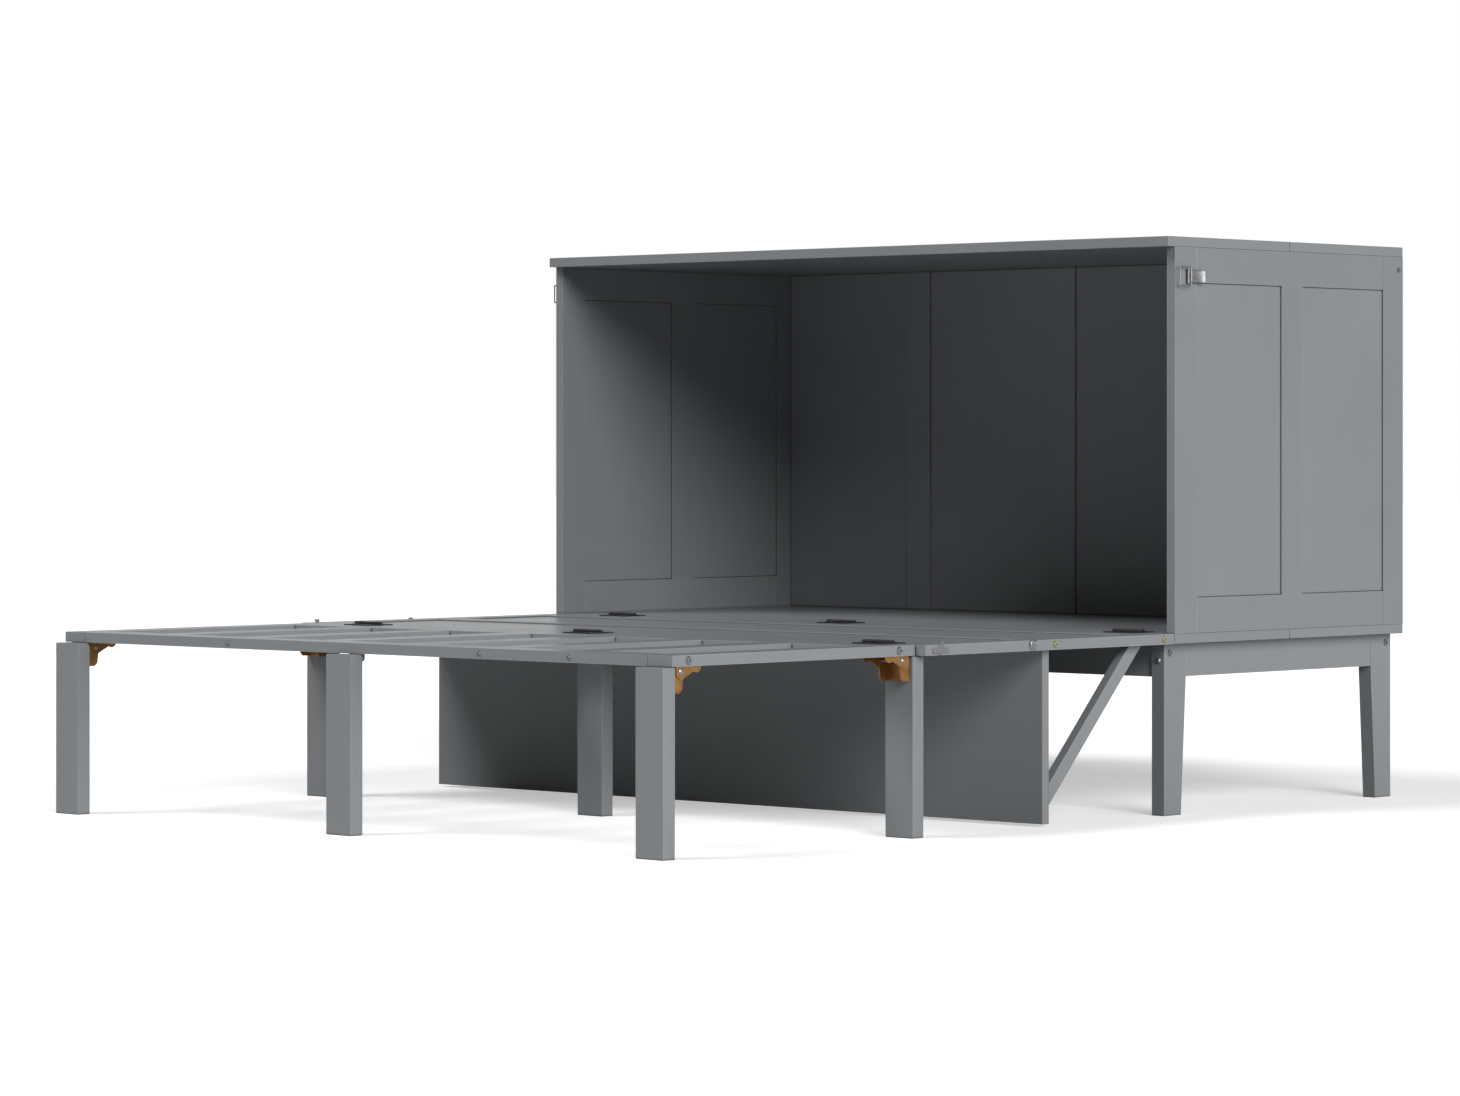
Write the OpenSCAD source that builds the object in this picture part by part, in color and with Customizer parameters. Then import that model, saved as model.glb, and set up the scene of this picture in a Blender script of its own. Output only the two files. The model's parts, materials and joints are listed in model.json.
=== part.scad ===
// Fold-out wall bed: an open cabinet whose base board is the first third of the bed deck, a middle
// section hinged to the cabinet front and a slatted foot section hinged to the middle section.
// Folded, the foot section lies on the middle section, and the pair swings up to close the cabinet.
// The middle section's desk board, a leg while the bed is open, is then a shelf on the front.
// X is the width, Y runs from the foot of the bed to the back of the cabinet, and Z is up.
// The origin is on the floor, below the middle of the opened bed.

/* [Bed] */
// Width of the cabinet and of the middle section
bed_w = 1626; // [1500:2:1900]
// Gap between each end of the folded foot section and the side of the cabinet
side_gap = 4; // [4:1:20]
// Height of the top of the deck above the floor
deck_h = 341; // [320:1:341]
// Thickness of every board
board_t = 19; // [18:1:20]
// Length of the middle section
middle_l = 709; // [690:1:709]
// Length of the foot section
foot_l = 618; // [600:1:640]
// Gap along each hinge line
joint_gap = 2; // [1:0.5:3]

/* [Cabinet] */
// Depth of the cabinet from its front edges to its back
cab_d = 728; // [700:1:760]
// Height of the cabinet's top
cab_h = 1081; // [1081:1:1160]
// Reach of the top board in front of the sides
top_overhang = 20; // [12:1:20]
// Distance from the cabinet's front edge to the seam between the front and rear boards
seam_y = 357; // [340:1:370]
// Distance from the rear edge of the sides to the back
back_inset = 6; // [2:1:12]
// Width of the stiles and rails of the cabinet's frames
stile_w = 66; // [50:1:80]
// Depth by which panels lie below their frames
recess = 3; // [1:0.5:5]

/* [Sections] */
// Width of the side rails
side_rail_w = 57; // [50:1:65]
// Width of the rails along the hinge lines
hinge_rail_w = 89; // [75:1:100]
// Width of the centre rail of the middle section
centre_rail_w = 64; // [50:1:80]
// Distance from the cabinet front to the middle of the centre rail
centre_rail_y = 358; // [350:1:365]
// Width of each slat
slat_w = 64; // [40:1:90]
// Number of slats
slat_count = 6; // [4:1:8]

/* [Legs] */
// Width of every leg
leg_w = 64; // [50:1:70]
// Thickness of every leg
leg_t = 29; // [24:1:30]
// Reach of the folding legs beyond the ends of the foot section
leg_reach = 23; // [18:1:26]
// Place of the middle legs across the bed
middle_leg_x = -7; // [-40:1:40]
// Distance from the sides of the cabinet in to its legs
leg_inset = 28; // [10:1:60]
// Height of the aprons
apron_h = 63; // [50:1:90]

/* [Desk] */
// Distance from the cabinet front to the rear face of the desk board
desk_y = 341; // [335:1:345]
// Clearance of the desk board above the floor
desk_clear = 5; // [3:1:20]
// Width of the braces
brace_w = 27; // [20:1:40]

/* [Hardware] */
// Length of each deck hinge along its pin
hinge_l = 73; // [60:1:90]
// Depth of one leaf of a deck hinge
leaf_d = 31; // [22:1:40]
// Height of a deck hinge's pin above the deck
pin_h = 3.5; // [3:0.5:4]
// Distance from a folding leg's inner face to its pivot
pivot_in = 20; // [16:1:24]
// Distance from the underside of the deck down to a leg pivot
pivot_down = 9; // [9:1:13]
// Height of the middle of the draw latches
latch_z = 1007; // [960:1:1010]

/* [Hidden] */
$fn = 48;
deck_under = deck_h - board_t;
top_under = cab_h - board_t;
side_in = bed_w / 2 - board_t;
foot_w = 2 * (side_in - side_gap);
back_y = cab_d - back_inset - board_t;
apron_z = deck_under - apron_h;
seam_gap = 1.2;

// Y places of the opened bed, counted from the cabinet's front edge
pin1_y = -joint_gap / 2;
middle_head_y = -joint_gap;
middle_foot_y = middle_head_y - middle_l;
pin2_y = middle_foot_y - joint_gap / 2;
foot_head_y = middle_foot_y - joint_gap;
foot_end_y = foot_head_y - foot_l;
foot_leg_y = foot_end_y - leg_reach;
front_y = -(foot_leg_y + cab_d) / 2;

pin_z = deck_h + pin_h;
edge_z = deck_h - board_t / 2;
hinge_x = [for (share = [-0.381, -0.011, 0.433]) share * bed_w];
fold_leg_x = [leg_w / 2 - foot_w / 2, middle_leg_x, foot_w / 2 - leg_w / 2];
back_stile_x = [for (share = [-0.261, -0.017, 0.228]) share * bed_w];

knuckle_r = 3.5;
pin_r = 1.8;
fit = 0.05;
leaf_t = 2;
// a leaf's plate starts just clear of the other leaf's knuckles
leaf_in = knuckle_r + 0.5;
// share of a hinge's length where the knuckles of one leaf end and the other leaf's begin
knuckle_splits = [0, 0.25, 0.5, 1];

// leg brackets, for each column of legs: broad on the corner legs and compact on the middle legs
hanger_w = [56, 20, 56];
hanger_l = [68, 27, 68];
lobe_r = [13, 6, 13];
channel_w = [51, 15, 51];
channel_h = [45, 34, 45];
cheek_d = [24, 14, 24];
plate_t = 2;
pivot_r = 3;
leg_gap = 1;

bolt_r = 6.5;
bolt_head_h = 3.4;
bolt_shank_r = 3;
bolt_l = 40;
leg_bolt_z = 304;
leg_face_bolt_z = 290;
side_bolt_z = 1036;

// draw latch, from the side's outer face and the cabinet's front edge
lever_x = 3.5;
lever_y = 36;
bail_x = 8.5;
bail_y = 38;
bail_front_y = 4;
bail_w = 35;
latch_end_y = 79;
latch_w = 25;
ear_t = 1.5;
wire_r = 1.3;

paint = [0.60, 0.61, 0.62];
black = [0.09, 0.09, 0.10];
zinc = [0.72, 0.72, 0.74];
yellow_zinc = [0.62, 0.47, 0.28];

// moves a shape drawn from the cabinet's front edge into the bed's own frame
module placed() {
    translate([0, front_y, 0]) children();
}

// a box between two opposite corners
module slab(low, high) {
    translate(low) cube(high - low);
}

// a shape on the right-hand side, or its mirror image on the left
module on_side(side) {
    mirror([side < 0 ? 1 : 0, 0, 0]) children();
}

// a round rod along X, centred on the X = 0 plane
module rod_x(r, l) {
    rotate([0, 90, 0]) cylinder(r = r, h = l, center = true);
}

// an outline of [Y, Z] points given a thickness along +X
module profile_x(points, t) {
    rotate([90, 0, 90]) linear_extrude(t) polygon(points);
}

// ---- fasteners, each pointing along +X out of a face at X = 0 ----

module bolt_hole(l = bolt_l) {
    rotate([0, -90, 0]) cylinder(r = bolt_shank_r + fit, h = l);
}

module bolt(l = bolt_l, r = bolt_r) {
    difference() {
        union() {
            rotate([0, 90, 0]) cylinder(r1 = r, r2 = r * 0.75, h = bolt_head_h);
            rotate([0, -90, 0]) cylinder(r = bolt_shank_r, h = l);
        }
        translate([0.8, 0, 0]) rotate([0, 90, 0]) cylinder(r = r * 0.4, h = bolt_head_h, $fn = 6);
    }
}

// a small cross-head wood screw, seen only as its flat head
module screw_head(r = 2.6) {
    difference() {
        rotate([0, 90, 0]) cylinder(r1 = r, r2 = r * 0.8, h = 0.9);
        for (turn = [0, 90]) rotate([turn, 0, 0]) translate([0.4, -r / 2, -0.3]) cube([1, r, 0.6]);
    }
}

// ---- cabinet shell ----

module board_pair_part(low_y, high_y, z) {
    color(paint) placed() slab([-bed_w / 2, low_y, z], [bed_w / 2, high_y, z + board_t]);
}

module top_front_board() {
    board_pair_part(-top_overhang, seam_y, top_under);
}

module top_rear_board() {
    board_pair_part(seam_y + seam_gap, cab_d, top_under);
}

module base_front_board() {
    board_pair_part(0, seam_y, deck_under);
}

module base_rear_board() {
    board_pair_part(seam_y + seam_gap, cab_d, deck_under);
}

// the uprights of one side: a full one at the front and rear, and a short one between the rails
module side_stiles(side) {
    mid_low = (cab_d - stile_w) / 2;
    color(paint) placed() on_side(side) translate([side_in, 0, 0]) {
        slab([0, 0, deck_h], [board_t, stile_w, top_under]);
        slab([0, mid_low, deck_h + stile_w], [board_t, mid_low + stile_w, top_under - stile_w]);
        difference() {
            slab([0, cab_d - stile_w, deck_h], [board_t, cab_d, top_under]);
            translate([board_t, back_y + board_t / 2, side_bolt_z]) bolt_hole(board_t - 2);
        }
    }
}

module side_rails(side) {
    color(paint) placed() on_side(side) for (z = [deck_h, top_under - stile_w])
        slab([side_in, stile_w, z], [bed_w / 2, cab_d - stile_w, z + stile_w]);
}

module side_panels(side) {
    bay = (cab_d - 3 * stile_w) / 2;
    color(paint) placed() on_side(side)
        for (low_y = [stile_w, 2 * stile_w + bay])
            slab([side_in + recess, low_y, deck_h + stile_w],
                 [side_in + board_t - recess, low_y + bay, top_under - stile_w]);
}

module left_side_stiles() {
    side_stiles(-1);
}

module right_side_stiles() {
    side_stiles(1);
}

module left_side_rails() {
    side_rails(-1);
}

module right_side_rails() {
    side_rails(1);
}

module left_side_panels() {
    side_panels(-1);
}

module right_side_panels() {
    side_panels(1);
}

module back_stiles() {
    color(paint) placed()
        for (x = back_stile_x)
            slab([x - stile_w / 2, back_y, deck_h], [x + stile_w / 2, back_y + board_t, top_under]);
}

module back_panels() {
    edges = concat([-side_in], [for (x = back_stile_x) each [x - stile_w / 2, x + stile_w / 2]], [side_in]);
    color(paint) placed()
        for (i = [0 : 2 : len(edges) - 1])
            slab([edges[i], back_y + recess, deck_h], [edges[i + 1], back_y + board_t - recess, top_under]);
}

// ---- cabinet stand ----

leg_top_w = stile_w;
leg_foot_w = 51;
leg_front_y = 3;
leg_x = bed_w / 2 - leg_inset;
// the bolts of a cabinet leg: through its outer face, and through its front or rear face
leg_bolt_y = 20;

// one cabinet leg: straight outside, tapered on the face that looks along the cabinet
module cabinet_leg(side, rear) {
    color(paint) placed() on_side(side)
        translate([0, rear ? cab_d : 0, 0]) mirror([0, rear ? 1 : 0, 0])
            difference() {
                translate([leg_x - leg_t, leg_front_y, 0])
                    profile_x([[0, 0], [leg_foot_w, 0], [leg_top_w, apron_z], [leg_top_w, deck_under],
                               [0, deck_under]], leg_t);
                translate([leg_x, leg_bolt_y, leg_bolt_z]) bolt_hole(leg_t - 5);
                translate([leg_x - leg_t / 2, leg_front_y, leg_face_bolt_z]) rotate([0, 0, -90]) bolt_hole();
            }
}

module front_left_cabinet_leg() {
    cabinet_leg(-1, false);
}

module front_right_cabinet_leg() {
    cabinet_leg(1, false);
}

module rear_left_cabinet_leg() {
    cabinet_leg(-1, true);
}

module rear_right_cabinet_leg() {
    cabinet_leg(1, true);
}

apron_in = 10;

module front_apron() {
    color(paint) placed()
        slab([leg_t - leg_x, apron_in, apron_z], [leg_x - leg_t, apron_in + board_t, deck_under]);
}

module rear_apron() {
    color(paint) placed()
        slab([leg_t - leg_x, cab_d - apron_in - board_t, apron_z],
             [leg_x - leg_t, cab_d - apron_in, deck_under]);
}

module side_aprons() {
    leg_end = leg_front_y + leg_top_w;
    color(paint) placed() for (side = [-1, 1]) on_side(side)
        slab([leg_x - board_t, leg_end, apron_z], [leg_x, cab_d - leg_end, deck_under]);
}

module cabinet_bolts() {
    color(zinc) placed() for (side = [-1, 1]) on_side(side) {
        translate([bed_w / 2, back_y + board_t / 2, side_bolt_z]) bolt(board_t - 2, 5);
        for (rear = [0, 1]) translate([0, rear * cab_d, 0]) mirror([0, rear, 0]) {
            translate([leg_x, leg_bolt_y, leg_bolt_z]) bolt(leg_t - 5);
            translate([leg_x - leg_t / 2, leg_front_y, leg_face_bolt_z]) rotate([0, 0, -90]) bolt();
        }
    }
}

// ---- deck hinges ----

// one leaf of a deck hinge at the origin of its pin, reaching towards +Y, with its share of knuckles
module hinge_leaf(first) {
    spans = [for (i = [first : 2 : len(knuckle_splits) - 2]) [knuckle_splits[i], knuckle_splits[i + 1]]];
    difference() {
        union() {
            slab([-hinge_l / 2, leaf_in, -pin_h], [hinge_l / 2, leaf_d, leaf_t - pin_h]);
            for (span = spans) {
                low = -hinge_l / 2 + span[0] * hinge_l + 0.3;
                high = -hinge_l / 2 + span[1] * hinge_l - 0.3;
                translate([(low + high) / 2, 0, 0]) rod_x(knuckle_r, high - low);
                slab([low, 0, -pin_h], [high, leaf_in, leaf_t - pin_h]);
            }
        }
        rod_x(pin_r + fit, hinge_l + 2);
    }
    for (x = [-0.36, 0, 0.36])
        translate([x * hinge_l, leaf_d * (x == 0 ? 0.78 : 0.5), leaf_t - pin_h]) rotate([0, -90, 0]) screw_head();
}

module hinge_row(y, first, toward) {
    for (x = hinge_x)
        translate([x, y, pin_z]) mirror([0, toward < 0 ? 1 : 0, 0]) hinge_leaf(first);
}

module cabinet_hinge_leaves() {
    color(black) placed() hinge_row(pin1_y, 1, 1);
}

module middle_hinge_leaves() {
    color(black) placed() {
        hinge_row(pin1_y, 0, -1);
        hinge_row(pin2_y, 1, 1);
    }
}

module foot_hinge_leaves() {
    color(black) placed() hinge_row(pin2_y, 0, -1);
}

// the pins of both hinge lines, held in the middle section's knuckles
module hinge_pins() {
    color(black) placed()
        for (y = [pin1_y, pin2_y], x = hinge_x) translate([x, y, pin_z]) rod_x(pin_r, hinge_l + 1);
}

// ---- middle section ----

middle_bolt_y = [-33, -352];
rail_in = bed_w / 2 - side_rail_w;
centre_low_y = -centre_rail_y - centre_rail_w / 2;
centre_high_y = -centre_rail_y + centre_rail_w / 2;

module middle_side_rail(side) {
    color(paint) placed() on_side(side) difference() {
        slab([rail_in, middle_foot_y, deck_under], [bed_w / 2, middle_head_y, deck_h]);
        for (y = middle_bolt_y) translate([bed_w / 2, y, edge_z]) bolt_hole();
    }
}

module middle_left_rail() {
    middle_side_rail(-1);
}

module middle_right_rail() {
    middle_side_rail(1);
}

// a board across the middle section between its side rails
module middle_cross(low_y, high_y) {
    color(paint) placed() slab([-rail_in, low_y, deck_under], [rail_in, high_y, deck_h]);
}

module middle_head_rail() {
    middle_cross(middle_head_y - hinge_rail_w, middle_head_y);
}

module middle_centre_rail() {
    middle_cross(centre_low_y, centre_high_y);
}

module middle_foot_rail() {
    middle_cross(middle_foot_y, middle_foot_y + hinge_rail_w);
}

module middle_panels() {
    bays = [[middle_foot_y + hinge_rail_w, centre_low_y], [centre_high_y, middle_head_y - hinge_rail_w]];
    color(paint) placed() for (bay = bays)
        slab([-rail_in, bay[0], deck_under + recess], [rail_in, bay[1], deck_h - recess]);
}

module middle_bolts() {
    color(yellow_zinc) placed() for (side = [-1, 1], y = middle_bolt_y)
        on_side(side) translate([bed_w / 2, y, edge_z]) bolt();
}

module desk_board() {
    color(paint) placed()
        slab([-foot_w / 2, -desk_y - board_t, desk_clear], [foot_w / 2, -desk_y, deck_under]);
}

// a bar at each end, from low on the desk board up to the middle section beside the hinge line
module desk_braces() {
    low_z = 39;
    high_y = -70;
    rise = (deck_under - low_z) / (desk_y + high_y);
    up = brace_w * sqrt(1 + rise * rise);
    color(paint) placed() for (side = [-1, 1]) on_side(side) translate([foot_w / 2 - board_t, 0, 0])
        profile_x([[-desk_y, low_z], [high_y, deck_under], [high_y - up / rise, deck_under],
                   [-desk_y, low_z + up]], board_t);
}

keeper_y = -670;
keeper_l = 44;
hook_w = 10;
side_hook_y = -415;

// the part that a draw latch pulls on: a bar with a disc in its middle, three screws, and a hook
// above the deck
module keeper() {
    slab([0, -keeper_l / 2, -6], [1.5, keeper_l / 2, 3]);
    translate([0.75, 0, 0]) rod_x(9, 1.5);
    slab([0, -hook_w / 2, 0], [1.5, hook_w / 2, 15]);
    slab([0, -hook_w / 2, 13], [4, hook_w / 2, 15]);
    for (p = [[-17, -2], [0, -1], [17, -2]]) translate([1.5, p[0], p[1]]) screw_head();
}

module latch_keepers() {
    color(zinc) placed() for (side = [-1, 1])
        on_side(side) translate([bed_w / 2, keeper_y, edge_z]) keeper();
}

// two round screw plates side by side with a wire hook that curls up over the deck's edge
module side_hook() {
    curl_r = 10;
    for (y = [-5, 5]) translate([0.75, y, -3]) {
        rod_x(5.5, 1.5);
        translate([0.75, 0, 0]) screw_head();
    }
    translate([2.3, 1, 1]) rotate([90, 0, 90]) rotate([0, 0, 50])
        rotate_extrude(angle = 140) translate([curl_r, 0]) circle(wire_r);
}

module side_hooks() {
    color(zinc) placed() for (side = [-1, 1])
        on_side(side) translate([bed_w / 2, side_hook_y, edge_z]) side_hook();
}

// ---- foot section ----

foot_in = foot_w / 2 - side_rail_w;
foot_bolt_y = [foot_head_y - 42, foot_end_y + 39];
slat_head_y = foot_head_y - hinge_rail_w;
slat_foot_y = foot_end_y + side_rail_w;
slat_gap = (2 * foot_in - slat_count * slat_w) / (slat_count + 1);
function slat_low_x(i) = -foot_in + slat_gap + i * (slat_w + slat_gap);
// slats that are also screwed through the end rail
screwed_slats = [1, 4, 5];

module foot_side_rail(side) {
    color(paint) placed() on_side(side) difference() {
        slab([foot_in, foot_end_y, deck_under], [foot_w / 2, foot_head_y, deck_h]);
        for (y = foot_bolt_y) translate([foot_w / 2, y, edge_z]) bolt_hole();
    }
}

module foot_left_rail() {
    foot_side_rail(-1);
}

module foot_right_rail() {
    foot_side_rail(1);
}

module foot_head_rail() {
    color(paint) placed() slab([-foot_in, slat_head_y, deck_under], [foot_in, foot_head_y, deck_h]);
}

// places a fastener on the outer face of the end rail, in line with each screwed slat
module at_end_screws() {
    for (i = screwed_slats)
        translate([slat_low_x(i) + slat_w / 2, foot_end_y, edge_z]) rotate([0, 0, -90]) children();
}

module foot_end_rail() {
    color(paint) placed() difference() {
        slab([seam_gap - foot_in, foot_end_y, deck_under], [foot_in - seam_gap, slat_foot_y, deck_h]);
        at_end_screws() bolt_hole();
    }
}

module foot_slats() {
    color(paint) placed() for (i = [0 : slat_count - 1])
        slab([slat_low_x(i), slat_foot_y, deck_under], [slat_low_x(i) + slat_w, slat_head_y, deck_h]);
}

module foot_bolts() {
    color(zinc) placed() {
        for (side = [-1, 1], y = foot_bolt_y)
            on_side(side) translate([foot_w / 2, y, edge_z]) bolt(r = 7.5);
        at_end_screws() bolt(r = 3.6);
    }
}

// ---- folding legs ----
// Each leg unit is drawn for the foot row: the leg's inner face at Y = 0, the deck's underside at
// Z = 0 and the foot section towards +Y. The hinge row is its mirror image.

module at_leg(row_foot, column) {
    y = row_foot ? foot_leg_y + leg_t : foot_head_y + leg_reach - leg_t;
    placed() translate([fold_leg_x[column], y, deck_under]) mirror([0, row_foot ? 0 : 1, 0]) children();
}

module fold_leg(row_foot, column) {
    color(paint) at_leg(row_foot, column)
        slab([-leg_w / 2, -leg_t, -deck_under], [leg_w / 2, 0, -leg_gap]);
}

// a corner hanger's cheek beyond the pivot: a sloping flank and a shallow lobe at the far end
module cheek_tail(l, r) {
    end_r = 11;
    tail_z = 2 - end_r;
    translate([plate_t / 2, l - end_r, 0]) rod_x(end_r, plate_t);
    profile_x([[pivot_in, 0], [pivot_in + 3, 0.5 - pivot_down - r], [l - 2 * end_r + 3, tail_z],
               [l - end_r, tail_z], [l - end_r, 0]], plate_t);
}

module hanger_cheek(column) {
    r = lobe_r[column];
    intersection() {
        union() {
            translate([plate_t / 2, pivot_in, -pivot_down]) rod_x(r, plate_t);
            slab([0, pivot_in - r, -pivot_down], [plate_t, pivot_in + r, 0]);
            if (column != 1) cheek_tail(hanger_l[column], r);
        }
        slab([0, 0, -deck_under], [plate_t, hanger_l[column], 0]);
    }
}

// the fixed bracket under the deck: a plate with a rounded cheek at each side, bored for the pivot
module hanger(column) {
    w = hanger_w[column];
    difference() {
        union() {
            slab([-w / 2, 6, -plate_t], [w / 2, hanger_l[column], 0]);
            for (x = [-w / 2, w / 2 - plate_t]) translate([x, 0, 0]) hanger_cheek(column);
        }
        translate([0, pivot_in, -pivot_down]) rod_x(pivot_r + fit, w + 2);
    }
}

module leg_hangers() {
    color(yellow_zinc) for (row_foot = [true, false], column = [0 : 2])
        at_leg(row_foot, column) hanger(column);
}

module pivot_pin(w) {
    rod_x(pivot_r, w);
    for (side = [-1, 1]) on_side(side) translate([w / 2, 0, 0])
        rotate([0, 90, 0]) cylinder(r1 = pivot_r + 2.5, r2 = pivot_r, h = 1.8);
}

module leg_pivot_pins() {
    color(zinc) for (row_foot = [true, false], column = [0 : 2])
        at_leg(row_foot, column) translate([0, pivot_in, -pivot_down]) pivot_pin(hanger_w[column]);
}

// the bracket on a folding leg: a web on the leg's inner face with a cheek at each side of it that
// reaches in to the pivot at the top
module channel(row_foot, column) {
    w = channel_w[column];
    low_z = -channel_h[column];
    d = cheek_d[column];
    eye_r = 6.5;
    corner = 6;
    top_z = -leg_gap - 3;
    color(yellow_zinc) at_leg(row_foot, column) difference() {
        union() {
            slab([-w / 2, 0, low_z], [w / 2, plate_t, top_z]);
            for (x = [-w / 2, w / 2 - plate_t]) translate([x, 0, 0]) {
                profile_x([[0, top_z], [0, low_z], [d - corner, low_z], [d, low_z + corner],
                           [d + 2, -pivot_down - 14], [pivot_in + eye_r * 0.9, -pivot_down - eye_r * 0.5],
                           [pivot_in, -pivot_down], [pivot_in - eye_r * 0.5, top_z]], plate_t);
                translate([plate_t / 2, pivot_in, -pivot_down]) rod_x(eye_r, plate_t);
            }
        }
        translate([0, pivot_in, -pivot_down]) rod_x(pivot_r + fit, w + 2);
    }
}

module foot_left_leg() {
    fold_leg(true, 0);
}

module foot_middle_leg() {
    fold_leg(true, 1);
}

module foot_right_leg() {
    fold_leg(true, 2);
}

module hinge_left_leg() {
    fold_leg(false, 0);
}

module hinge_middle_leg() {
    fold_leg(false, 1);
}

module hinge_right_leg() {
    fold_leg(false, 2);
}

module foot_left_channel() {
    channel(true, 0);
}

module foot_middle_channel() {
    channel(true, 1);
}

module foot_right_channel() {
    channel(true, 2);
}

module hinge_left_channel() {
    channel(false, 0);
}

module hinge_middle_channel() {
    channel(false, 1);
}

module hinge_right_channel() {
    channel(false, 2);
}

// ---- draw latches, drawn on the right side's outer face at X = 0 and mirrored to the left ----

module at_latch(side) {
    placed() on_side(side) translate([bed_w / 2, 0, latch_z]) children();
}

// a plate with two ears that hold the lever's pin, and the pin itself
module latch_base() {
    ear_r = 3.5;
    slab([0, lever_y + 5, -latch_w / 2], [ear_t, latch_end_y, latch_w / 2]);
    for (z = [-latch_w / 2, latch_w / 2 - ear_t]) {
        translate([lever_x, lever_y, z]) cylinder(r = ear_r, h = ear_t);
        slab([0, lever_y, z], [lever_x + 2, lever_y + 8, z + ear_t]);
    }
    translate([lever_x, lever_y, -latch_w / 2]) cylinder(r = 1.5, h = latch_w);
}

module latch_bases() {
    color(zinc) for (side = [-1, 1]) at_latch(side) latch_base();
}

// the lever: a head that turns on the base's pin and holds the bail, a flat plate over the base,
// and a tail that bends out for a finger
module latch_lever(side) {
    head_h = latch_w - 2 * ear_t - 1;
    color(zinc) at_latch(side) translate([0, 0, -head_h / 2]) difference() {
        union() {
            translate([lever_x, lever_y, 0]) cylinder(r = 3, h = head_h);
            translate([bail_x, bail_y, 0]) cylinder(r = 2.6, h = head_h);
            linear_extrude(head_h)
                polygon([[lever_x, lever_y - 2], [bail_x, bail_y - 2], [bail_x, bail_y + 4], [7.5, 44],
                         [7.5, 68], [11, 78], [9.5, 79], [5.5, 70], [5.5, 42], [lever_x, lever_y + 2]]);
        }
        translate([lever_x, lever_y, -1]) cylinder(r = 1.5 + fit, h = latch_w);
        translate([bail_x, bail_y, -1]) cylinder(r = wire_r + fit, h = latch_w);
    }
}

module left_latch_lever() {
    latch_lever(-1);
}

module right_latch_lever() {
    latch_lever(1);
}

// the bail: a closed wire loop from its pivot in the lever forward past the front of the cabinet's side
module latch_bail(side) {
    reach = bail_y - bail_front_y;
    color(zinc) at_latch(side) translate([bail_x, 0, 0]) {
        for (z = [-bail_w / 2, bail_w / 2]) translate([0, bail_front_y, z])
            rotate([-90, 0, 0]) cylinder(r = wire_r, h = reach);
        for (y = [bail_front_y, bail_y]) translate([0, y, -bail_w / 2]) cylinder(r = wire_r, h = bail_w);
        for (y = [bail_front_y, bail_y], z = [-bail_w / 2, bail_w / 2]) translate([0, y, z]) sphere(wire_r);
    }
}

module left_latch_bail() {
    latch_bail(-1);
}

module right_latch_bail() {
    latch_bail(1);
}

// ---- nodes ----

top_front_board();
top_rear_board();
base_front_board();
base_rear_board();
left_side_stiles();
left_side_rails();
left_side_panels();
right_side_stiles();
right_side_rails();
right_side_panels();
back_stiles();
back_panels();
front_left_cabinet_leg();
front_right_cabinet_leg();
rear_left_cabinet_leg();
rear_right_cabinet_leg();
front_apron();
rear_apron();
side_aprons();
cabinet_bolts();
cabinet_hinge_leaves();
latch_bases();
left_latch_lever();
right_latch_lever();
left_latch_bail();
right_latch_bail();
middle_left_rail();
middle_right_rail();
middle_head_rail();
middle_centre_rail();
middle_foot_rail();
middle_panels();
desk_board();
desk_braces();
middle_bolts();
latch_keepers();
side_hooks();
middle_hinge_leaves();
hinge_pins();
foot_left_rail();
foot_right_rail();
foot_head_rail();
foot_end_rail();
foot_slats();
foot_bolts();
foot_hinge_leaves();
leg_hangers();
leg_pivot_pins();
foot_left_leg();
foot_middle_leg();
foot_right_leg();
hinge_left_leg();
hinge_middle_leg();
hinge_right_leg();
foot_left_channel();
foot_middle_channel();
foot_right_channel();
hinge_left_channel();
hinge_middle_channel();
hinge_right_channel();
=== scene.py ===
import json
import math

import bpy
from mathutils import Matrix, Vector


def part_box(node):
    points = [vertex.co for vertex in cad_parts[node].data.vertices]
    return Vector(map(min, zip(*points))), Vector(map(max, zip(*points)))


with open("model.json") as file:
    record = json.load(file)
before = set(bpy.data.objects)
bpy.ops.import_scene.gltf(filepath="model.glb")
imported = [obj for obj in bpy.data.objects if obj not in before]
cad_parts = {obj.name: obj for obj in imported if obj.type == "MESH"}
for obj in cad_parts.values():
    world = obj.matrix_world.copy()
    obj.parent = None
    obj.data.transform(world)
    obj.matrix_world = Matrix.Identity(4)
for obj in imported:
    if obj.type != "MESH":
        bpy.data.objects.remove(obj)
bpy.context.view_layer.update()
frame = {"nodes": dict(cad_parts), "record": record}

# ---- sizes that are the scene's own, in metres ----

# The camera is level. It stands to the right of the bed's foot, and is placed from the cabinet's
# front edge, the middle of the bed and the floor.
CAMERA_RIGHT = 6.5146
CAMERA_FORWARD = 7.3401
CAMERA_HEIGHT = 0.6934
CAMERA_TURN = math.radians(42.95)
CAMERA_LENS_MM = 122.68
CAMERA_SENSOR_MM = 36.0
CAMERA_SHIFT_Y = -0.0709

FLOOR_SIZE = 80.0
FLOOR_GLOW = 0.44
FLOOR_BOUNCE = 0.60

# Each light: how far round from the front towards the right it stands, how high, and how broad it
# is, all in degrees, and then its strength.
KEY_LIGHT = (-32, 52, 26, 1.78)
SIDE_LIGHT = (64, 27, 28, 2.05)
LOW_LIGHT = (102, 8, 30, 1.50)
ROOM_LIGHT = 0.012
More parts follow.
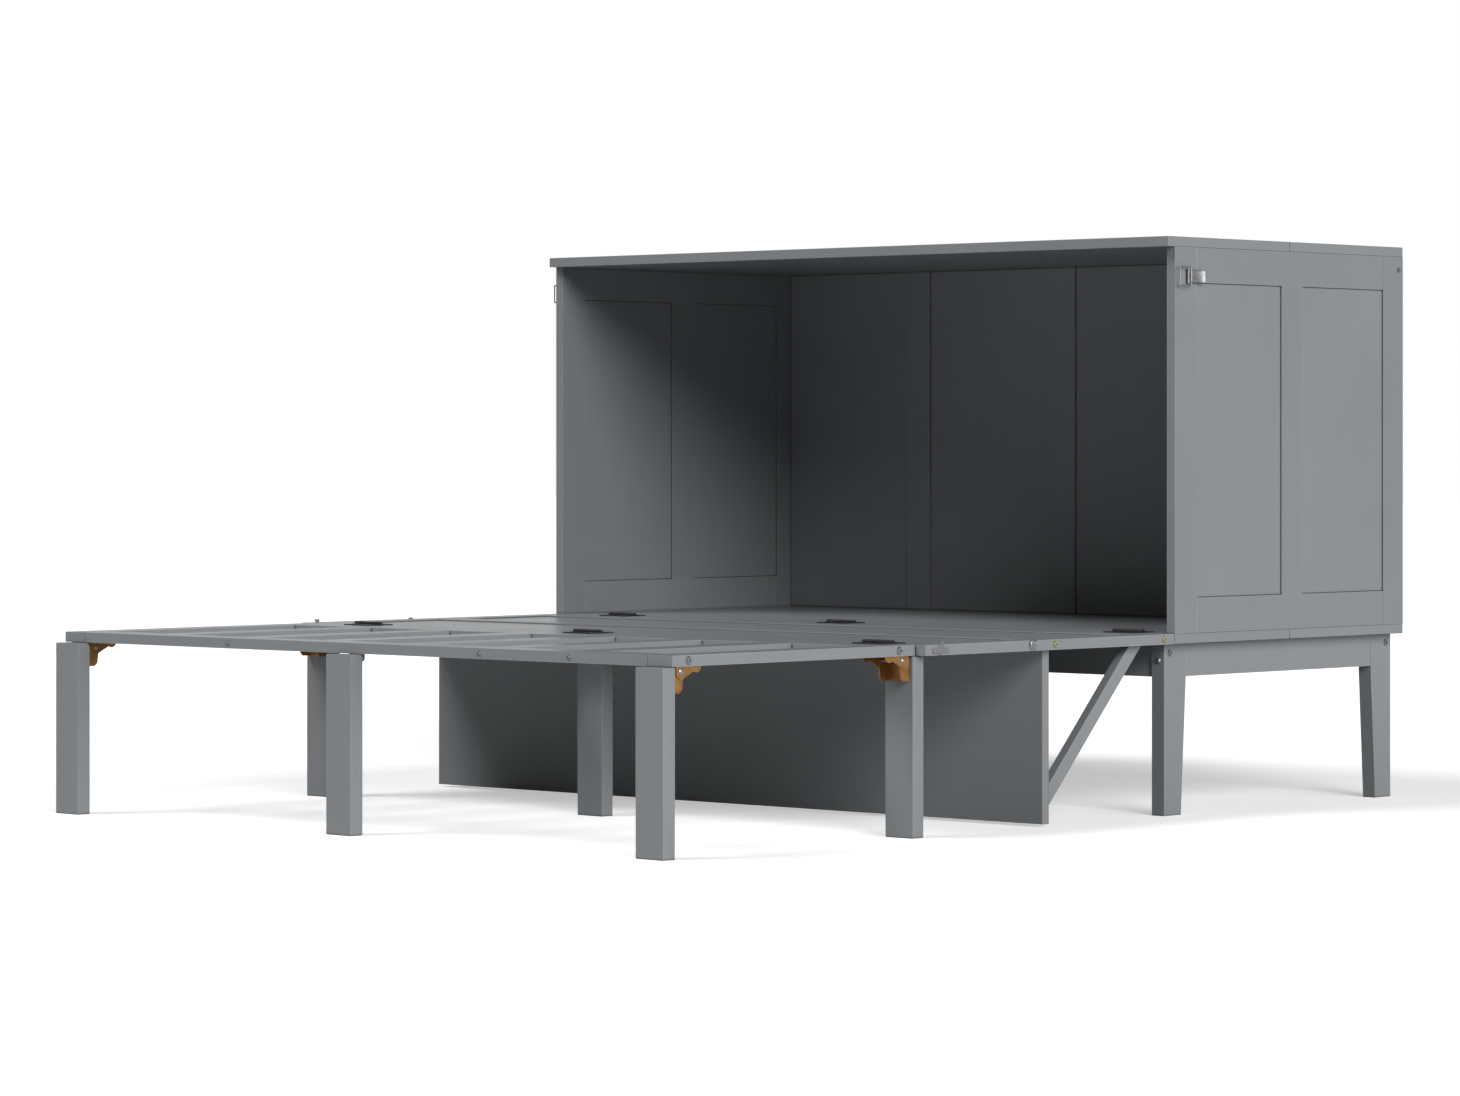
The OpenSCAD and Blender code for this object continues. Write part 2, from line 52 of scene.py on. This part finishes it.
# A tall softbox stands past the far corner of the bed's foot, where only the deck reflects it.
SOFTBOX_AT = (-6.0, 3.6, 1.2)
SOFTBOX_SIZE = (3.0, 2.6)
SOFTBOX_POWER = 24.0
BACKDROP = 1.0

EDGE_ROUND_WOOD = 0.0015
EDGE_ROUND_METAL = 0.00035
EDGE_SEGMENTS = 2
WELD_DISTANCE = 0.00001
ROUND_ABOVE_DEG = 32
FLAT_FACE_WEIGHT = 100

# How many rays the edge and crevice masks send out
MASK_SAMPLES = 6

# Which way the grain runs on a node that holds several boards; on the others it runs along the
# longest side of the node's box.
GRAIN = {
    "back_stiles": 2,
    "back_panels": 2,
    "left_side_stiles": 2,
    "right_side_stiles": 2,
    "left_side_panels": 2,
    "right_side_panels": 2,
    "left_side_rails": 1,
    "right_side_rails": 1,
    "side_aprons": 1,
    "foot_slats": 1,
    "desk_braces": 2,
}


# ---- material building blocks ----


def feed(tree, socket, value):
    """Links a node's output into a socket, or sets the socket to a plain value."""
    if isinstance(value, bpy.types.NodeSocket):
        tree.links.new(value, socket)
    else:
        socket.default_value = value


def add(tree, kind, settings=None, **inputs):
    """Adds a shader node; an input's underscores stand for the spaces in its socket's name."""
    node = tree.nodes.new("ShaderNode" + kind)
    for key, value in (settings or {}).items():
        setattr(node, key, value)
    for key, value in inputs.items():
        feed(tree, node.inputs[key.replace("_", " ")], value)
    return node


def math_node(tree, operation, first, second):
    node = add(tree, "Math", {"operation": operation})
    feed(tree, node.inputs[0], first)
    feed(tree, node.inputs[1], second)
    return node.outputs[0]


def times(tree, first, second):
    return math_node(tree, "MULTIPLY", first, second)


def plus(tree, first, second):
    return math_node(tree, "ADD", first, second)


def spread(tree, value, low, high, to_low=0.0, to_high=1.0):
    """Stretches the part of a value from low to high over another range, and clamps the rest."""
    node = add(tree, "MapRange", {"clamp": True}, Value=value)
    node.inputs["From Min"].default_value = low
    node.inputs["From Max"].default_value = high
    node.inputs["To Min"].default_value = to_low
    node.inputs["To Max"].default_value = to_high
    return node.outputs[0]


def mix(tree, factor, first, second):
    """Goes from the first colour to the second; 6, 7 and 2 are a Mix node's colour sockets."""
    node = add(tree, "Mix", {"data_type": "RGBA"}, Factor=factor)
    feed(tree, node.inputs[6], first)
    feed(tree, node.inputs[7], second)
    return node.outputs[2]


def noise(tree, coords, scale, detail=3.0, roughness=0.55):
    node = add(tree, "TexNoise", Vector=coords, Scale=scale, Detail=detail, Roughness=roughness)
    return node.outputs[0]


def stretched(tree, coords, scale):
    return add(tree, "Mapping", Vector=coords, Scale=scale).outputs[0]


def edge_mask(tree, radius):
    """1 along the edges of a shape and 0 on its flat faces."""
    rounded = add(tree, "Bevel", {"samples": MASK_SAMPLES}, Radius=radius).outputs[0]
    plain = add(tree, "NewGeometry").outputs["Normal"]
    along = add(tree, "VectorMath", {"operation": "DOT_PRODUCT"})
    feed(tree, along.inputs[0], rounded)
    feed(tree, along.inputs[1], plain)
    still_flat, all_edge = 0.985, 0.86
    return spread(tree, along.outputs["Value"], still_flat, all_edge)


def seam_shade_mask(tree, reach):
    """Painted shade mask: 1 down in the seams between boards, where little open air is found, and
    0 out in the open.
    """
    settings = {"samples": MASK_SAMPLES}
    open_air = add(tree, "AmbientOcclusion", settings, Distance=reach).outputs["AO"]
    in_seam, in_the_open = 0.45, 0.85
    return spread(tree, open_air, in_seam, in_the_open, 1.0, 0.0)


def bump(tree, height, distance, strength, below=None):
    node = add(tree, "Bump", Height=height, Distance=distance, Strength=strength)
    if below is not None:
        tree.links.new(below, node.inputs["Normal"])
    return node.outputs[0]


def grey(value, blue=0.0):
    """A grey that leans towards blue by the share given."""
    return (value, value * (1 + blue * 0.5), value * (1 + blue), 1.0)


def new_material(name):
    material = bpy.data.materials.new(name)
    material.use_nodes = True
    tree = material.node_tree
    coords = add(tree, "TexCoord").outputs["Object"]
    return material, tree, tree.nodes["Principled BSDF"], coords


def split_for_camera(tree, seen, otherwise, output):
    """Ends a tree with one shader that the camera sees and another for every other ray."""
    by_camera = add(tree, "LightPath").outputs["Is Camera Ray"]
    both = add(tree, "MixShader")
    feed(tree, both.inputs[0], by_camera)
    feed(tree, both.inputs[1], otherwise.outputs[0])
    feed(tree, both.inputs[2], seen.outputs[0])
    tree.links.new(both.outputs[0], tree.nodes[output].inputs["Surface"])


# ---- materials ----


def paint_colour(tree, grain, clouds, scuffs):
    """Grey paint, uneven from board to board, with scuffs, edges lightened partly as rubbed paint
    and partly as painted highlight, and painted shade darkening the seams.
    """
    dark, light = grey(0.218, 0.095), grey(0.254, 0.09)
    # The near-black seam grey is painted shade, and the paler edge grey stands partly for rubbed
    # paint and partly for painted highlight.
    light_edge, scuffed, painted_seam_shade = grey(0.40, 0.06), grey(0.30, 0.06), grey(0.055)
    grain_share, cloud_share, board_share = 0.45, 0.35, 0.20
    edge_width, seam_depth = 0.0022, 0.006
    scuff_strength, seam_shade_strength = 0.16, 0.75

    board = add(tree, "ObjectInfo").outputs["Random"]
    tone = times(tree, grain, grain_share)
    tone = plus(tree, tone, times(tree, clouds, cloud_share))
    tone = plus(tree, tone, times(tree, board, board_share))
    paint = mix(tree, spread(tree, tone, 0.25, 0.75), dark, light)
    # Painted highlight, partly rubbed paint: the edges are lightened towards a paler grey, more
    # where the grain is light.
    edge_rub_and_highlight = times(tree, edge_mask(tree, edge_width), spread(tree, grain, 0.35, 0.65, 0.35, 0.8))
    paint = mix(tree, edge_rub_and_highlight, paint, light_edge)
    paint = mix(tree, times(tree, scuffs, scuff_strength), paint, scuffed)
    # Painted shade: the seams and recesses between boards are darkened towards near black.
    return mix(tree, times(tree, seam_shade_mask(tree, seam_depth), seam_shade_strength), paint, painted_seam_shade)


def painted_wood(axis):
    """Satin grey paint, rolled onto boards whose grain shows through it a little."""
    material, tree, shader, coords = new_material("painted_wood_" + "xyz"[axis])
    across, along = 260.0, 7.0
    smooth, coarse, scuff_roughness = 0.30, 0.38, 0.14
    grain_scale = [across, across, across]
    grain_scale[axis] = along
    grain = noise(tree, stretched(tree, coords, grain_scale), 1.0, 5.0, 0.6)
    clouds = noise(tree, coords, 3.0, 4.0)
    stipple = noise(tree, coords, 900.0, 2.0)
    scuffs = spread(tree, noise(tree, coords, 45.0, 7.0, 0.72), 0.60, 0.74)

    feed(tree, shader.inputs["Base Color"], paint_colour(tree, grain, clouds, scuffs))
    rough = spread(tree, clouds, 0.3, 0.7, smooth, coarse)
    rough = plus(tree, rough, times(tree, scuffs, scuff_roughness))
    feed(tree, shader.inputs["Roughness"], rough)
    height = bump(tree, grain, 0.00012, 0.35)
    height = bump(tree, stipple, 0.00005, 0.30, height)
    feed(tree, shader.inputs["Normal"], height)
    return material


def black_metal():
    """Black coated hinge steel, rubbed to bare metal along its edges."""
    material, tree, shader, coords = new_material("black_hinge_steel")
    dark_coat, light_coat = (0.012, 0.012, 0.014, 1.0), (0.030, 0.030, 0.033, 1.0)
    bare_steel = (0.16, 0.155, 0.15, 1.0)
    edge_width = 0.0006
    patches = noise(tree, coords, 120.0, 5.0, 0.65)
    worn = times(tree, edge_mask(tree, edge_width), spread(tree, patches, 0.45, 0.65))
    coat = mix(tree, patches, dark_coat, light_coat)
    feed(tree, shader.inputs["Base Color"], mix(tree, worn, coat, bare_steel))
    feed(tree, shader.inputs["Metallic"], worn)
    feed(tree, shader.inputs["Roughness"], spread(tree, patches, 0.3, 0.7, 0.30, 0.46))
    feed(tree, shader.inputs["Normal"], bump(tree, noise(tree, coords, 2600.0, 2.0), 0.00004, 0.4))
    return material


def yellow_zinc():
    """Pressed steel with yellow passivated zinc, in drifting gold, olive and rose tones."""
    material, tree, shader, coords = new_material("yellow_zinc_steel")
    gold, rose = (0.45, 0.255, 0.085, 1.0), (0.36, 0.17, 0.055, 1.0)
    olive, stain = (0.36, 0.29, 0.12, 1.0), (0.24, 0.11, 0.04, 1.0)
    light_edge = (0.74, 0.58, 0.30, 1.0)
    edge_width, rub_strength = 0.0007, 0.6
    drift = noise(tree, coords, 38.0, 3.0)
    fine = noise(tree, coords, 420.0, 4.0, 0.7)
    tint = mix(tree, spread(tree, drift, 0.40, 0.60), rose, gold)
    tint = mix(tree, spread(tree, drift, 0.58, 0.75, 0.0, 0.6), tint, olive)
    tint = mix(tree, spread(tree, fine, 0.55, 0.80, 0.0, 0.35), tint, stain)
    tint = mix(tree, times(tree, edge_mask(tree, edge_width), rub_strength), tint, light_edge)
    feed(tree, shader.inputs["Base Color"], tint)
    shader.inputs["Metallic"].default_value = 0.75
    feed(tree, shader.inputs["Roughness"], spread(tree, fine, 0.3, 0.7, 0.30, 0.44))
    feed(tree, shader.inputs["Normal"], bump(tree, fine, 0.00006, 0.35))
    return material


def zinc(name, dull, clear):
    """Plated steel with the faint spangle of zinc, in tones between dull and clear."""
    material, tree, shader, coords = new_material(name)
    light_edge = (0.62, 0.62, 0.62, 1.0)
    edge_width, rub_strength = 0.0005, 0.6
    spangle = add(tree, "TexVoronoi", Vector=coords, Scale=380.0).outputs["Color"]
    brushed = noise(tree, stretched(tree, coords, (900.0, 60.0, 900.0)), 1.0, 3.0)
    tone = add(tree, "SeparateColor", Color=spangle).outputs[0]
    tint = mix(tree, tone, dull, clear)
    tint = mix(tree, times(tree, edge_mask(tree, edge_width), rub_strength), tint, light_edge)
    feed(tree, shader.inputs["Base Color"], tint)
    shader.inputs["Metallic"].default_value = 0.85
    feed(tree, shader.inputs["Roughness"], spread(tree, brushed, 0.3, 0.7, 0.34, 0.48))
    feed(tree, shader.inputs["Normal"], bump(tree, brushed, 0.00003, 0.35))
    return material


def pale_floor():
    """Pale studio paper: bright where it is seen, and with little light thrown back on the bed."""
    material, tree, shader, coords = new_material("pale_floor")
    haze = noise(tree, coords, 0.35, 2.0)
    feed(tree, shader.inputs["Base Color"], mix(tree, haze, grey(0.86), grey(0.88)))
    shader.inputs["Roughness"].default_value = 0.9
    shader.inputs["Specular IOR Level"].default_value = 0.0
    shader.inputs["Emission Color"].default_value = grey(1.0)
    shader.inputs["Emission Strength"].default_value = FLOOR_GLOW
    dim = add(tree, "BsdfDiffuse", Color=grey(FLOOR_BOUNCE))
    split_for_camera(tree, shader, dim, "Material Output")
    return material


# ---- the CAD nodes: materials, and edges rounded as on the real pieces ----


def longest_axis(node):
    low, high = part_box(node)
    size = high - low
    return max(range(3), key=lambda axis: size[axis])


def round_edges(piece, width):
    weld = piece.modifiers.new("weld", "WELD")
    weld.merge_threshold = WELD_DISTANCE
    bevel = piece.modifiers.new("rounded_edges", "BEVEL")
    bevel.width = width
    bevel.segments = EDGE_SEGMENTS
    bevel.limit_method = "ANGLE"
    bevel.angle_limit = math.radians(ROUND_ABOVE_DEG)
    bevel.use_clamp_overlap = True
    normals = piece.modifiers.new("normals", "WEIGHTED_NORMAL")
    normals.keep_sharp = False
    normals.weight = FLAT_FACE_WEIGHT


def dress(node, piece, slot, finishes):
    if slot == "painted_wood":
        finish = finishes[slot][GRAIN.get(node, longest_axis(node))]
        round_edges(piece, EDGE_ROUND_WOOD)
    else:
        finish = finishes[slot]
        round_edges(piece, EDGE_ROUND_METAL)
    piece.data.materials.clear()
    piece.data.materials.append(finish)


def dress_all():
    finishes = {
        "painted_wood": [painted_wood(axis) for axis in range(3)],
        "black_metal": black_metal(),
        "yellow_zinc": yellow_zinc(),
        "zinc": zinc("bright_zinc_steel", (0.28, 0.28, 0.29, 1.0), (0.40, 0.40, 0.41, 1.0)),
        "pale_zinc": zinc("pale_zinc_steel", (0.44, 0.42, 0.22, 1.0), (0.60, 0.60, 0.36, 1.0)),
    }
    for entry in frame["record"]["subparts"]:
        dress(entry["node"], frame["nodes"][entry["node"]], entry["material_slot"], finishes)


# ---- camera, floor and light ----


def new_object(name, data):
    thing = bpy.data.objects.new(name, data)
    bpy.context.scene.collection.objects.link(thing)
    return thing


def make_camera():
    front_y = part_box("base_front_board")[0].y
    camera = new_object("camera", bpy.data.cameras.new("camera"))
    camera.location = (CAMERA_RIGHT, front_y - CAMERA_FORWARD, CAMERA_HEIGHT)
    camera.rotation_euler = (math.radians(90), 0, CAMERA_TURN)
    camera.data.lens = CAMERA_LENS_MM
    camera.data.sensor_width = CAMERA_SENSOR_MM
    camera.data.shift_y = CAMERA_SHIFT_Y
    bpy.context.scene.camera = camera
    bpy.context.scene.view_settings.view_transform = "Standard"


def make_floor():
    bpy.ops.mesh.primitive_plane_add(size=FLOOR_SIZE, location=(0, 0, 0))
    floor = bpy.context.object
    floor.name = "floor"
    floor.data.materials.append(pale_floor())


def make_sun(name, azimuth, height, breadth, strength):
    light = bpy.data.lights.new(name, "SUN")
    light.energy = strength
    light.angle = math.radians(breadth)
    sun = new_object(name, light)
    sun.rotation_euler = (math.radians(90 - height), 0, math.radians(azimuth))


def make_softbox():
    """A tall lamp that shows only as a reflection, and doesn't light the bed itself."""
    light = bpy.data.lights.new("softbox", "AREA")
    light.shape = "RECTANGLE"
    light.size, light.size_y = SOFTBOX_SIZE
    light.energy = SOFTBOX_POWER
    light.diffuse_factor = 0.0
    softbox = new_object("softbox", light)
    softbox.location = SOFTBOX_AT
    softbox.rotation_euler = Vector(SOFTBOX_AT).to_track_quat("Z", "Y").to_euler()
    softbox.visible_camera = False


def make_room():
    """A dim room, which the camera sees as a pale backdrop."""
    world = bpy.data.worlds.new("studio")
    bpy.context.scene.world = world
    world.use_nodes = True
    tree = world.node_tree
    room = tree.nodes["Background"]
    room.inputs["Color"].default_value = grey(1.0)
    room.inputs["Strength"].default_value = ROOM_LIGHT
    backdrop = add(tree, "Background", Color=grey(1.0), Strength=BACKDROP)
    split_for_camera(tree, backdrop, room, "World Output")


def make_light():
    """A high key light in front, two soft lights at the side, and the softbox."""
    make_room()
    make_sun("key", *KEY_LIGHT)
    make_sun("side", *SIDE_LIGHT)
    make_sun("low", *LOW_LIGHT)
    make_softbox()


make_camera()
make_floor()
make_light()
dress_all()
